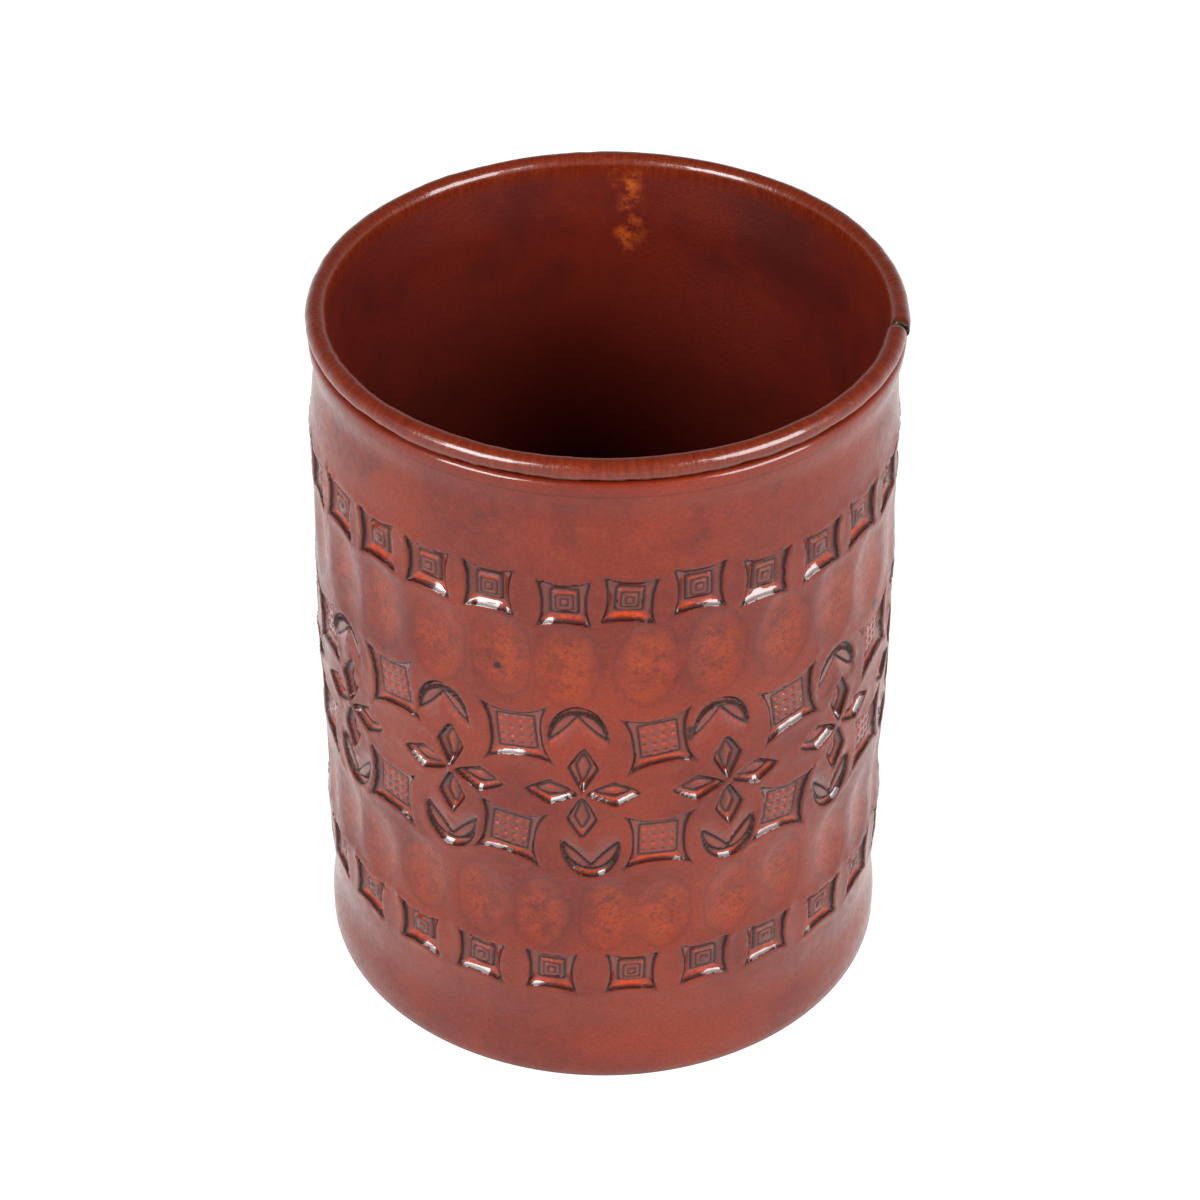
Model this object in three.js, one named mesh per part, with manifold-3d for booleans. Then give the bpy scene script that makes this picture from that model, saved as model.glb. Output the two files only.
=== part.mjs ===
// Leather dice cup: a tooled outer sleeve and a thin lining sleeve, glued one inside the other.
// The lining is rolled outwards over a cord at the rim, and a floor disc, a base board and a sole
// close the bottom.
// Units are millimetres, +Z points up out of the mouth, and the origin is the middle of the sole's
// underside. The side at -Y is the cup's front.

import * as THREE from "three";
import { mergeVertices } from "three/addons/utils/BufferGeometryUtils.js";
import Module from "manifold-3d";

const wasm = await Module();
wasm.setup();

// Driving dimensions
const CUP_HEIGHT = 100;
const SLEEVE_THICKNESS = 1.6;
const LINING_THICKNESS = 0.8;
const GLUE_GAP = 0.1;
const DISC_CLEARANCE = 0.15;
const SLEEVE_TOP = 97.2;
const SLEEVE_LIP_ROUND = 0.5;

// Rolled bead at the rim
const CORE_RADIUS = 0.5;
const CORE_CLEARANCE = 0.05;
const BEAD_RING_RADIUS = 36.65;
const BEAD_END_DEG = -45;
const BEAD_OUTER_STEPS = 10;
const BEAD_INNER_STEPS = 5;

// Base stack, from the table upwards
const SOLE_THICKNESS = 2.5;
const BASE_BOARD_THICKNESS = 2.2;
const FLOOR_THICKNESS = 1.2;
const SOLE_EDGE_BEVEL = 0.4;
const DISC_BEVEL = 0.2;

// Seams
const SLEEVE_SEAM_DEG = 70;
const SLEEVE_SEAM_GAP = 0.3;
const LINING_JOINT_DEG = -9.5;
const LINING_JOINT_GAP = 0.45;
const SEAM_CUTTER_REACH = 60;

const TURNS = 56;
const CORE_SIDES = 8;

// Outer face of the sleeve as [height, radius]. The base stack swells the foot, the wall draws in
// just above it and again under the lip, and the tooled middle is a little fuller.
const WALL_STATIONS = [
  [0, 38.85],
  [3.5, 38.8],
  [6, 38.45],
  [8.5, 38.2],
  [13, 38.4],
  [18, 38.55],
  [29, 38.4],
  [52, 38.45],
  [75, 38.1],
  [86.5, 37.75],
  [90, 37.4],
  [92.3, 37.15],
  [94.5, 37.65],
  [96.2, 37.85],
];

const BEAD_OUTER_RADIUS = CORE_RADIUS + CORE_CLEARANCE + LINING_THICKNESS;
const BEAD_INNER_RADIUS = CORE_RADIUS + CORE_CLEARANCE;
const BEAD_HEIGHT = CUP_HEIGHT - BEAD_OUTER_RADIUS;
const BOARD_BOTTOM = SOLE_THICKNESS + GLUE_GAP;
const LINING_BOTTOM = BOARD_BOTTOM + BASE_BOARD_THICKNESS + GLUE_GAP;

// Radius of the sleeve's outer face at a height, straight between the stations.
function wallRadius(height) {
  const last = WALL_STATIONS.length - 1;
  if (height >= WALL_STATIONS[last][0]) return WALL_STATIONS[last][1];
  const next = WALL_STATIONS.findIndex((station) => station[0] > height);
  const [lowHeight, lowRadius] = WALL_STATIONS[next - 1];
  const [highHeight, highRadius] = WALL_STATIONS[next];
  const share = (height - lowHeight) / (highHeight - lowHeight);
  return lowRadius + share * (highRadius - lowRadius);
}

// Radius of the sleeve's inner face at a height.
function sleeveInside(height) {
  return wallRadius(height) - SLEEVE_THICKNESS;
}

// Points [radius, height] of an arc about [centreRadius, centreHeight], angles in degrees.
function arc(centreRadius, centreHeight, radius, fromDeg, toDeg, steps) {
  return Array.from({ length: steps + 1 }, (_, i) => {
    const angle = THREE.MathUtils.degToRad(fromDeg + ((toDeg - fromDeg) * i) / steps);
    return [centreRadius + radius * Math.cos(angle), centreHeight + radius * Math.sin(angle)];
  });
}

// The same about the middle of the rolled bead.
function beadArc(radius, fromDeg, toDeg, steps) {
  return arc(BEAD_RING_RADIUS, BEAD_HEIGHT, radius, fromDeg, toDeg, steps);
}

// Turns a profile of [radius, height] points about Z. The profile runs anticlockwise.
function turned(profile) {
  const points = profile.map(([radius, height]) => new THREE.Vector2(radius, height));
  const geometry = new THREE.LatheGeometry(points, TURNS);
  geometry.rotateX(Math.PI / 2);
  return geometry;
}

// A solid ring from a profile that closes on itself.
function ring(profile) {
  return turned([...profile, profile[0]]);
}

// The closed mesh as a solid that can be cut.
function toSolid(geometry) {
  const bare = geometry.clone();
  bare.deleteAttribute("normal");
  bare.deleteAttribute("uv");
  const merged = mergeVertices(bare, 1e-4);
  return new wasm.Manifold(
    new wasm.Mesh({
      numProp: 3,
      vertProperties: new Float32Array(merged.attributes.position.array),
      triVerts: new Uint32Array(merged.index.array),
    }),
  );
}

// The solid's mesh as a three.js geometry.
function toGeometry(solid) {
  const mesh = solid.getMesh();
  const geometry = new THREE.BufferGeometry();
  geometry.setAttribute("position", new THREE.BufferAttribute(mesh.vertProperties, 3));
  geometry.setIndex(new THREE.BufferAttribute(mesh.triVerts, 1));
  geometry.computeVertexNormals();
  return geometry;
}

// Opens a turned ring along one upright line, where the strip's two ends meet.
function openSeam(geometry, seamDeg, gap) {
  const cutter = new THREE.BoxGeometry(SEAM_CUTTER_REACH, gap, 3 * CUP_HEIGHT);
  cutter.translate(SEAM_CUTTER_REACH / 2, 0, 0);
  cutter.rotateZ(THREE.MathUtils.degToRad(seamDeg));
  return toGeometry(toSolid(geometry).subtract(toSolid(cutter)));
}

// Tooled outer sleeve: a strip of firm leather with a rounded lip, its ends butted at the back.
function outerSleeve() {
  const top = WALL_STATIONS[WALL_STATIONS.length - 1][1] - SLEEVE_LIP_ROUND;
  const lip = arc(top, SLEEVE_TOP - SLEEVE_LIP_ROUND, SLEEVE_LIP_ROUND, 0, 90, 3);
  const inner = WALL_STATIONS.map(([height, radius]) => [radius - SLEEVE_THICKNESS, height]);
  inner.push([top - SLEEVE_THICKNESS + SLEEVE_LIP_ROUND, SLEEVE_TOP]);
  const outer = WALL_STATIONS.map(([height, radius]) => [radius, height]);
  return openSeam(ring([...outer, ...lip, ...inner.reverse()]), SLEEVE_SEAM_DEG, SLEEVE_SEAM_GAP);
}

// Lining sleeve: follows the outer sleeve's inside and is rolled outwards over the cord at the rim.
function liningSleeve() {
  const stationHeights = WALL_STATIONS.map(([height]) => height);
  const heights = [LINING_BOTTOM, ...stationHeights.filter((height) => height > LINING_BOTTOM)];
  const outer = heights.map((height) => [sleeveInside(height) - GLUE_GAP, height]);
  const inner = outer.map(([radius, height]) => [radius - LINING_THICKNESS, height]);
  const underRoll = beadArc(BEAD_INNER_RADIUS, 180, BEAD_END_DEG, BEAD_INNER_STEPS);
  const overRoll = beadArc(BEAD_OUTER_RADIUS, BEAD_END_DEG, 180, BEAD_OUTER_STEPS);
  return openSeam(
    ring([...outer, ...underRoll, ...overRoll, ...inner.reverse()]),
    LINING_JOINT_DEG,
    LINING_JOINT_GAP,
  );
}

// Cord inside the rolled rim, its ends meeting at the lining's joint.
function rimCore() {
  const section = beadArc(CORE_RADIUS, 0, 360, CORE_SIDES);
  return openSeam(turned(section), LINING_JOINT_DEG, LINING_JOINT_GAP);
}

// A flat disc with both edges bevelled, its underside at the given height.
function disc(radius, bottom, thickness, bevel) {
  const top = bottom + thickness;
  return turned([
    [0, bottom],
    [radius - bevel, bottom],
    [radius, bottom + bevel],
    [radius, top - bevel],
    [radius - bevel, top],
    [0, top],
  ]);
}

// Outer leather under the base, flush with the sleeve's cut edge.
function soleDisc() {
  return disc(sleeveInside(0) - DISC_CLEARANCE, 0, SOLE_THICKNESS, SOLE_EDGE_BEVEL);
}

// Pulpboard between the sole and the floor. It keeps the base flat and the foot round.
function baseBoard() {
  const radius = sleeveInside(LINING_BOTTOM) - DISC_CLEARANCE;
  return disc(radius, BOARD_BOTTOM, BASE_BOARD_THICKNESS, DISC_BEVEL);
}

// Lining leather on the board, inside the lining sleeve.
function floorDisc() {
  const liningInside = sleeveInside(LINING_BOTTOM + FLOOR_THICKNESS) - GLUE_GAP - LINING_THICKNESS;
  return disc(liningInside - DISC_CLEARANCE, LINING_BOTTOM, FLOOR_THICKNESS, DISC_BEVEL);
}

// A matt material of one colour.
function finish(color, roughness) {
  return new THREE.MeshStandardMaterial({ color, roughness, metalness: 0 });
}

const pieces = [
  ["outer_sleeve", outerSleeve(), finish(0x96483a, 0.35)],
  ["lining_sleeve", liningSleeve(), finish(0x8c3018, 0.4)],
  ["rim_core", rimCore(), finish(0xb9a684, 0.9)],
  ["floor_disc", floorDisc(), finish(0x4a130c, 0.5)],
  ["base_board", baseBoard(), finish(0x8a6f52, 0.95)],
  ["sole_disc", soleDisc(), finish(0x6b3826, 0.6)],
];

const group = new THREE.Group();
for (const [name, geometry, material] of pieces) {
  const mesh = new THREE.Mesh(geometry, material);
  mesh.name = name;
  group.add(mesh);
}

export default group;
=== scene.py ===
"""Looks of a hand-tooled leather dice cup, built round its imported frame.

Lengths are millimetres and angles are degrees unless a name says otherwise. A strip of leather is laid out
flat, tooled there and then rolled to its place, so a mesh is in metres only after its last step.
"""

import logging
import math
from dataclasses import dataclass, field
from enum import Enum

import bpy
import numpy as np
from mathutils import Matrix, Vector


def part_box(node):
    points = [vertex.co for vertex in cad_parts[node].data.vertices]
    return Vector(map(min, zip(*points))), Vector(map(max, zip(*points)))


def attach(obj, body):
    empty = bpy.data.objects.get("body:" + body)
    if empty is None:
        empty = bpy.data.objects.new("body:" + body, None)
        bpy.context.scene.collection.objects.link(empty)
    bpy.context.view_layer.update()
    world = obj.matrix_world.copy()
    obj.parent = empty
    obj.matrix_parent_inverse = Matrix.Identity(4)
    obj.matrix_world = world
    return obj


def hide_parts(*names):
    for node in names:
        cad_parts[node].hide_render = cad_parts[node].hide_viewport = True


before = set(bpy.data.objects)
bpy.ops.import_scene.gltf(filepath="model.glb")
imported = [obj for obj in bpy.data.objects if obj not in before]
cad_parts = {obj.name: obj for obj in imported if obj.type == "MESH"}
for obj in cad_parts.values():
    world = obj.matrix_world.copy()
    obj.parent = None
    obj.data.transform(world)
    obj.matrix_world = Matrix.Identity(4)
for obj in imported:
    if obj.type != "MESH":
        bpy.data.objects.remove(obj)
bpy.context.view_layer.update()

LOG = logging.getLogger("dice_cup")
MM = 0.001
FLAT_RADIUS = 38.3
MM_PER_DEGREE = FLAT_RADIUS * math.pi / 180

Tree = bpy.types.NodeTree
Socket = bpy.types.NodeSocket
Layers = list[tuple[Socket, float, Socket | str]]


class Slot(Enum):
    """Names of the cup's material slots."""

    SLEEVE = "tooled_leather"
    LINING = "lining_leather"
    CORD = "rim_cord"
    FLOOR = "floor_leather"
    BOARD = "pulpboard"
    SOLE = "sole_leather"


# ---------------------------------------------------------------------------------------------- shared tools


def linear(hex_colour: str) -> tuple[float, float, float, float]:
    """Turns an sRGB hex colour such as "#8A3B2E" to linear RGBA."""
    channels = [int(hex_colour[i : i + 2], 16) / 255 for i in (1, 3, 5)]
    return tuple(c / 12.92 if c <= 0.04045 else ((c + 0.055) / 1.055) ** 2.4 for c in channels) + (1.0,)


def add_node(tree: bpy.types.NodeTree, kind: str, links: dict | None = None, **settings) -> bpy.types.Node:
    """Adds one node with its settings and links.

    Args:
        tree: The node tree that it goes into.
        kind: The node's type name.
        links: Input name or index, to an output socket to link or a value to set.
        settings: The node's own properties.

    Returns:
        The new node.
    """
    made = tree.nodes.new(kind)
    for name, value in settings.items():
        setattr(made, name, value)
    for name, value in (links or {}).items():
        if isinstance(value, bpy.types.NodeSocket):
            tree.links.new(value, made.inputs[name])
        else:
            made.inputs[name].default_value = value
    return made


def smooth(low: float, high: float, value: np.ndarray) -> np.ndarray:
    """Eases from 0 at low to 1 at high."""
    share = np.clip((value - low) / (high - low), 0, 1)
    return share * share * (3 - 2 * share)


def start_clean() -> None:
    """Leaves nothing selected, in object mode, before a new piece is made."""
    if bpy.context.object and bpy.context.object.mode != "OBJECT":
        bpy.ops.object.mode_set(mode="OBJECT")
    bpy.ops.object.select_all(action="DESELECT")


def vertex_places(mesh: bpy.types.Mesh) -> np.ndarray:
    """Returns the mesh's vertices as rows of x, y, z."""
    places = np.empty(len(mesh.vertices) * 3)
    mesh.vertices.foreach_get("co", places)
    return places.reshape(-1, 3)


def place_vertices(mesh: bpy.types.Mesh, places: np.ndarray) -> None:
    """Moves the mesh's vertices to rows of x, y, z."""
    mesh.vertices.foreach_set("co", places.ravel())
    mesh.update()


def face_centres(mesh: bpy.types.Mesh) -> np.ndarray:
    """Returns the middle of each face as rows of x, y, z."""
    centres = np.empty(len(mesh.polygons) * 3)
    mesh.polygons.foreach_get("center", centres)
    return centres.reshape(-1, 3)


def select_faces(piece: bpy.types.Object, chosen: np.ndarray) -> None:
    """Selects only the chosen faces and stays in edit mode, in face mode."""
    bpy.ops.object.mode_set(mode="EDIT")
    bpy.ops.mesh.select_mode(type="FACE")
    bpy.ops.mesh.select_all(action="DESELECT")
    bpy.ops.object.mode_set(mode="OBJECT")
    piece.data.polygons.foreach_set("select", chosen)
    bpy.ops.object.mode_set(mode="EDIT")


def store(mesh: bpy.types.Mesh, name: str, values: np.ndarray) -> None:
    """Keeps one number for each vertex under a name that a material can read."""
    attribute = mesh.attributes.new(name, "FLOAT", "POINT")
    attribute.data.foreach_set("value", values.astype(np.float32))


def finish_piece(piece: bpy.types.Object, material: bpy.types.Material, slot: Slot, *nodes: str) -> None:
    """Gives a finished piece its material and its body, and hides the CAD nodes it stands for."""
    piece.data.materials.clear()
    piece.data.materials.append(material)
    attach(piece, "root")
    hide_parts(*nodes)
    LOG.info("%s: %d vertices, %d faces", piece.name, len(piece.data.vertices), len(piece.data.polygons))


# ------------------------------------------------------------------------------------------------- the wall


@dataclass
class Wall:
    """Shape of the cup's wall, read from the CAD sleeve.

    The radius is round in the frame. The small hand-made faults of a real cup are added here: the mouth is
    set a little to one side, and the wall is not quite round. The wall never leaves the frame's box.
    """

    node: str = "outer_sleeve"
    station_vertices: int = 100
    mouth_shift: float = 0.3
    lean: float = 0.15
    oval: float = 0.1
    mouth_oval: float = 0.22
    clear: float = 0.02
    heights: np.ndarray = field(init=False)
    radii: np.ndarray = field(init=False)
    top: float = field(init=False)

    def __post_init__(self) -> None:
        """Reads the outer radius at each height where the CAD sleeve has a full ring of vertices."""
        places = vertex_places(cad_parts[self.node].data) / MM
        self.top = float(places[:, 2].max())
        levels, counts = np.unique(places[:, 2].round(2), return_counts=True)
        levels = levels[counts > self.station_vertices]
        reach = np.hypot(places[:, 0], places[:, 1])
        radii = np.array([reach[abs(places[:, 2] - level) < 0.01].max() for level in levels])
        lip_start = np.argmax(radii[levels > 0.9 * self.top]) + np.count_nonzero(levels <= 0.9 * self.top)
        self.heights = levels[: lip_start + 1]
        self.radii = radii[: lip_start + 1]

    def radius(self, height: np.ndarray) -> np.ndarray:
        """Radius of the outer face at each height, on a smooth curve through the frame's levels."""
        slopes = np.gradient(self.radii, self.heights)
        index = np.clip(np.searchsorted(self.heights, height) - 1, 0, len(self.heights) - 2)
        span = self.heights[index + 1] - self.heights[index]
        t = np.clip((height - self.heights[index]) / span, 0, 1)
        rise = self.radii[index + 1] - self.radii[index]
        ease = t * t * (3 - 2 * t)
        bend = t * (1 - t) * span * (slopes[index] * (1 - t) - slopes[index + 1] * t)
        return self.radii[index] + rise * ease + bend

    def roll(self, azimuth: np.ndarray, height: np.ndarray, inset: np.ndarray) -> np.ndarray:
        """Turns places on the wall to metres.

        Args:
            azimuth: Angle about the cup's axis, from +X.
            height: Height above the table.
            inset: Depth below the outer face, towards the axis.

        Returns:
            Rows of x, y, z in metres.
        """
        angle = np.radians(azimuth)
        mouth = smooth(self.top - 14, self.top, height)
        oval = self.oval * np.cos(2 * angle + 0.6) * smooth(0, 50, height) * (1 - mouth)
        radius = self.radius(height) - inset + oval + self.mouth_oval * np.cos(2 * angle) * mouth
        x = radius * np.cos(angle) + self.lean * smooth(0, 60, height) + self.mouth_shift * mouth
        y = radius * np.sin(angle)
        held_in = np.minimum(1, (self.radii.max() - self.clear) / np.hypot(x, y))
        return np.column_stack([x * held_in, y * held_in, height]) * MM


# ------------------------------------------------------------------------------------------------- the dies


def swollen_edge(outline: np.ndarray, height: float = 0.15, width: float = 0.28) -> np.ndarray:
    """Lip of leather that a die pushes up just outside its outline."""
    share = np.clip(outline, 0, None) / width
    return height * share * np.exp(1 - share)


def bevel(outline: np.ndarray, inner: np.ndarray, depth: float, wall: float = 0.34) -> np.ndarray:
    """Depth between a die's outline and its inner edge: a short steep wall, then a slope.

    Args:
        outline: Distance outside the outline, negative inside.
        inner: Distance outside the inner edge.
        depth: Depth at the inner edge.
        wall: Depth of the steep wall at the outline.

    Returns:
        The depth at each place, positive inwards.
    """
    inside, left = np.clip(-outline, 0, None), np.clip(inner, 0, None)
    share = inside / (inside + left + 1e-6)
    return np.minimum(wall * np.clip(inside / 0.2, 0, 1) + (depth - wall) * share, depth)


def bowed_square(x: np.ndarray, y: np.ndarray, middle: float, corner: float, power: float) -> np.ndarray:
    """Distance outside a square whose sides bow in between its pointed corners, negative inside."""
    flare = corner - middle
    across = abs(x) - flare * np.clip(abs(y) / corner, 0, 1.2) ** power
    along = abs(y) - flare * np.clip(abs(x) / corner, 0, 1.2) ** power
    return np.maximum(across, along) - middle


def ellipse(x: np.ndarray, y: np.ndarray, half_width: float, half_height: float) -> np.ndarray:
    """Distance outside an ellipse about the origin, negative inside, true near its edge."""
    share = np.hypot(x / half_width, y / half_height) + 1e-6
    slope = np.hypot(x / half_width**2, y / half_height**2) / share + 1e-6
    return (share - 1) / slope


class Die:
    """A hand stamp. Its own x runs to the right and its y up, from the middle of its face."""

    reach: float = 4.0

    def outline(self, x: np.ndarray, y: np.ndarray) -> np.ndarray:
        """Distance outside the die's outer edge, negative inside."""
        raise NotImplementedError

    def inner(self, x: np.ndarray, y: np.ndarray) -> np.ndarray:
        """Distance outside the edge of the die's raised middle, negative inside."""
        raise NotImplementedError

    def creases(self, x: np.ndarray, y: np.ndarray) -> list[np.ndarray]:
        """Signed distance from each line that the mesh's edges follow."""
        return [self.outline(x, y), self.inner(x, y)]

    def relief(self, x: np.ndarray, y: np.ndarray) -> np.ndarray:
        """Height that the blow leaves in the leather, negative inwards."""
        raise NotImplementedError

    def pits(self) -> list[tuple[float, float]]:
        """Places of the die's fine points, which need the finest mesh."""
        return []


@dataclass
class NestedSquareDie(Die):
    """Bowed square with a deep bevel round a small raised square, a ring and a knob."""

    middle: float = 2.85
    corner: float = 3.45
    core: float = 1.75
    depth: float = 0.95
    reach: float = 4.6
    ring_radii: tuple[float, ...] = (0.0, 0.28, 0.5, 0.8, 1.1, 1.42)
    ring_depths: tuple[float, ...] = (0.2, 0.24, 0.5, 0.28, 0.6, 0.32)

    def outline(self, x: np.ndarray, y: np.ndarray) -> np.ndarray:
        """Distance outside the bowed square."""
        return bowed_square(x, y, self.middle, self.corner, 2.2)

    def inner(self, x: np.ndarray, y: np.ndarray) -> np.ndarray:
        """Distance outside the core's square."""
        return np.maximum(abs(x), abs(y)) - self.core

    def creases(self, x: np.ndarray, y: np.ndarray) -> list[np.ndarray]:
        """The outline, the foot of the bevel and the rings' two grooves."""
        inner = self.inner(x, y)
        rings = [inner + self.core - self.ring_radii[index] for index in (2, 4)]
        return [self.outline(x, y), inner, *rings]

    def relief(self, x: np.ndarray, y: np.ndarray) -> np.ndarray:
        """Bevel down to the groove, then the rings inside it."""
        outline, inner = self.outline(x, y), self.inner(x, y)
        core = np.interp(inner + self.core, [*self.ring_radii, self.core], [*self.ring_depths, self.depth])
        pressed = np.where(inner > 0, bevel(outline, inner, self.depth), core)
        return np.where(outline < 0, -pressed, swollen_edge(outline) * (1 + 0.8 * smooth(1.5, 2.8, y)))


@dataclass
class SeededSquareDie(Die):
    """Bowed square with horned corners round a flat field of small pits."""

    middle: float = 3.4
    corner: float = 4.65
    field_half: float = 2.55
    depth: float = 0.66
    floor: float = 0.44
    pit_pitch: float = 1.3
    pit_radius: float = 0.4
    pit_depth: float = 0.24
    reach: float = 6.6

    def pits(self) -> list[tuple[float, float]]:
        """Four rows of four pits."""
        steps = [(i - 1.5) * self.pit_pitch for i in range(4)]
        return [(x, y) for x in steps for y in steps]

    def pit_distance(self, x: np.ndarray, y: np.ndarray) -> np.ndarray:
        """Distance to the nearest pit's middle."""
        reach = 1.5 * self.pit_pitch
        nearest_x = np.clip(np.round(x / self.pit_pitch - 0.5) + 0.5, -1.5, 1.5) * self.pit_pitch
        nearest_y = np.clip(np.round(y / self.pit_pitch - 0.5) + 0.5, -1.5, 1.5) * self.pit_pitch
        return np.hypot(x - np.clip(nearest_x, -reach, reach), y - np.clip(nearest_y, -reach, reach))

    def outline(self, x: np.ndarray, y: np.ndarray) -> np.ndarray:
        """Distance outside the horned square."""
        return bowed_square(x, y, self.middle, self.corner, 2.6)

    def inner(self, x: np.ndarray, y: np.ndarray) -> np.ndarray:
        """Distance outside the pitted field."""
        return np.maximum(abs(x), abs(y)) - self.field_half

    def creases(self, x: np.ndarray, y: np.ndarray) -> list[np.ndarray]:
        """The outline, the edge of the field and the pits' edges."""
        return [self.outline(x, y), self.inner(x, y), self.pit_distance(x, y) - self.pit_radius]

    def relief(self, x: np.ndarray, y: np.ndarray) -> np.ndarray:
        """Bevel, a thin moat and the pitted field."""
        outline, inner = self.outline(x, y), self.inner(x, y)
        pit = self.pit_depth * np.clip(1 - (self.pit_distance(x, y) / self.pit_radius) ** 2, 0, 1)
        face = np.interp(inner, [-0.4, 0], [self.floor, self.depth])
        pressed = np.where(inner > 0, bevel(outline, inner, self.depth), face + pit)
        return np.where(outline < 0, -pressed, swollen_edge(outline))


@dataclass
class PetalDie(Die):
    """Kite-shaped leaf round a smaller raised leaf. Its stalk end is at the origin, its tip along x."""

    start: float = 0.5
    tip: float = 7.4
    widest: float = 4.2
    half_width: float = 1.98
    bevel: float = 1.0
    depth: float = 0.74
    face: float = 0.4
    reach: float = 8.6

    def leaf(self, x: np.ndarray, y: np.ndarray, start: float, tip: float, half_width: float) -> np.ndarray:
        """Distance outside a pointed leaf, negative inside."""
        rising = (x - start) / (self.widest - start)
        falling = (tip - x) / (tip - self.widest)
        share = np.where(x < self.widest, rising, falling)
        side = (abs(y) - half_width * np.clip(share, 0, 1) ** 0.8) * 0.88
        past = np.maximum(start - x, x - tip)
        return np.where(share > 0, side, np.hypot(y, past))

    def outline(self, x: np.ndarray, y: np.ndarray) -> np.ndarray:
        """Distance outside the outer leaf."""
        return self.leaf(x, y, self.start, self.tip, self.half_width)

    def inner(self, x: np.ndarray, y: np.ndarray) -> np.ndarray:
        """Distance outside the raised leaf."""
        return self.leaf(x, y, self.start + 0.9, self.tip - 1.3, self.half_width - self.bevel)

    def creases(self, x: np.ndarray, y: np.ndarray) -> list[np.ndarray]:
        """The outline and the groove."""
        return [self.outline(x, y), self.inner(x, y)]

    def relief(self, x: np.ndarray, y: np.ndarray) -> np.ndarray:
        """Bevel down to the groove, and the leaf raised out of it."""
        outline, inner = self.outline(x, y), self.inner(x, y)
        rise = np.interp(-inner, [0, 0.7, 1.2], [self.depth, self.face, self.face])
        pressed = np.where(inner > 0, bevel(outline, inner, self.depth, 0.28), rise)
        return np.where(outline < 0, -pressed, swollen_edge(outline))


@dataclass
class ArchDie(Die):
    """Pointed arch over two leaves, with a bracket under them whose ends run out as wings."""

    half_width: float = 3.85
    height: float = 5.05
    band: float = 1.2
    depth: float = 0.78
    leaf_depth: float = 0.3
    reach: float = 6.8

    def arch(self, x: np.ndarray, y: np.ndarray) -> np.ndarray:
        """Distance outside the arch's outer edge."""
        return ellipse(x, y, self.half_width, self.height)

    def inner_arch(self, x: np.ndarray, y: np.ndarray) -> np.ndarray:
        """Distance outside the arch's inner edge."""
        return ellipse(x, y + self.band, self.half_width, self.height)

    def leaf_foot(self, x: np.ndarray) -> np.ndarray:
        """Height of the groove under the two leaves."""
        return 3.3 - 1.35 * abs(x) + 0.08 * x * x

    def bracket(self, x: np.ndarray) -> np.ndarray:
        """Height of the bracket's groove, an ogee from the middle out to the wings."""
        wing = abs(x)
        return -1.75 + 3.8 * np.exp(-1.05 * wing) + 0.42 * np.clip(wing - 2.9, 0, None) ** 1.5

    def outline(self, x: np.ndarray, y: np.ndarray) -> np.ndarray:
        """Distance outside the crescent and the leaves."""
        crescent = np.maximum(np.maximum(self.arch(x, y), -self.inner_arch(x, y)), -0.75 - y)
        return np.minimum(crescent, self.inner(x, y))

    def inner(self, x: np.ndarray, y: np.ndarray) -> np.ndarray:
        """Distance outside the two raised leaves."""
        return np.maximum(self.inner_arch(x, y), (self.leaf_foot(x) - y) * 0.62)

    def creases(self, x: np.ndarray, y: np.ndarray) -> list[np.ndarray]:
        """The arch's two edges, and the grooves under the leaves and on the bracket."""
        arch, inner = self.arch(x, y), self.inner_arch(x, y)
        above = np.where(y > -0.6, 0, 9.0)
        inside = np.where(inner < 0.1, 0, 9.0)
        leaf = (y - self.leaf_foot(x)) * 0.62
        bracket = (y - self.bracket(x)) * 0.6
        return [arch + above, inner + above, leaf + inside, bracket]

    def relief(self, x: np.ndarray, y: np.ndarray) -> np.ndarray:
        """Deep crescent, two raised leaves, and the bracket's shallow groove."""
        arch, inner = self.arch(x, y), self.inner_arch(x, y)
        share = np.clip(-arch, 0, None) / (np.clip(-arch, 0, None) + np.clip(inner, 0, None) + 1e-6)
        thick = np.clip((inner - arch) / (0.7 * self.band), 0, 1)
        crescent = np.interp(share, [0, 0.2, 0.78, 1], [0, 0.45, self.depth, self.leaf_depth]) * thick
        foot, bracket = self.leaf_foot(x), self.bracket(x)
        drop = np.clip((foot - y) / np.clip(foot - bracket, 0.2, None), 0, 1)
        leaf_width = np.clip((y - foot) * 0.62, 0, None)
        leaf = self.leaf_depth + 0.28 * np.exp(-leaf_width / 0.16)
        band = np.interp(drop, [0, 0.2, 0.75, 1], [self.leaf_depth + 0.28, 0.3, 0.14, 0.26])
        groove = 0.24 * np.clip(1 - abs(y - bracket) * 0.6 / 0.28, 0, 1) * smooth(4.4, 3.4, abs(x))
        body = np.where(y > foot, leaf, np.where(y > bracket, band, 0)) * smooth(0.12, -0.12, inner)
        pressed = np.where((arch < 0) & (inner > 0) & (y > -0.9), crescent, 0)
        pressed = np.where(inner <= 0, np.maximum(body, groove), np.maximum(pressed, groove))
        return -pressed + np.where(y > 0, swollen_edge(arch), 0) * (arch > 0)


@dataclass
class PearShaderDie(Die):
    """Smooth upright oval that leaves a shallow dish."""

    half_width: float = 4.2
    half_height: float = 6.7
    depth: float = 0.62
    reach: float = 8.0

    def dish(self, x: np.ndarray, y: np.ndarray) -> np.ndarray:
        """Share of the full depth at each place."""
        rho = (x / self.half_width) ** 2 + (y / self.half_height) ** 2
        return np.clip(1 - rho, 0, 1) ** 0.8

    def relief(self, x: np.ndarray, y: np.ndarray) -> np.ndarray:
        """The shallow dish."""
        return -self.depth * self.dish(x, y)


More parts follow.
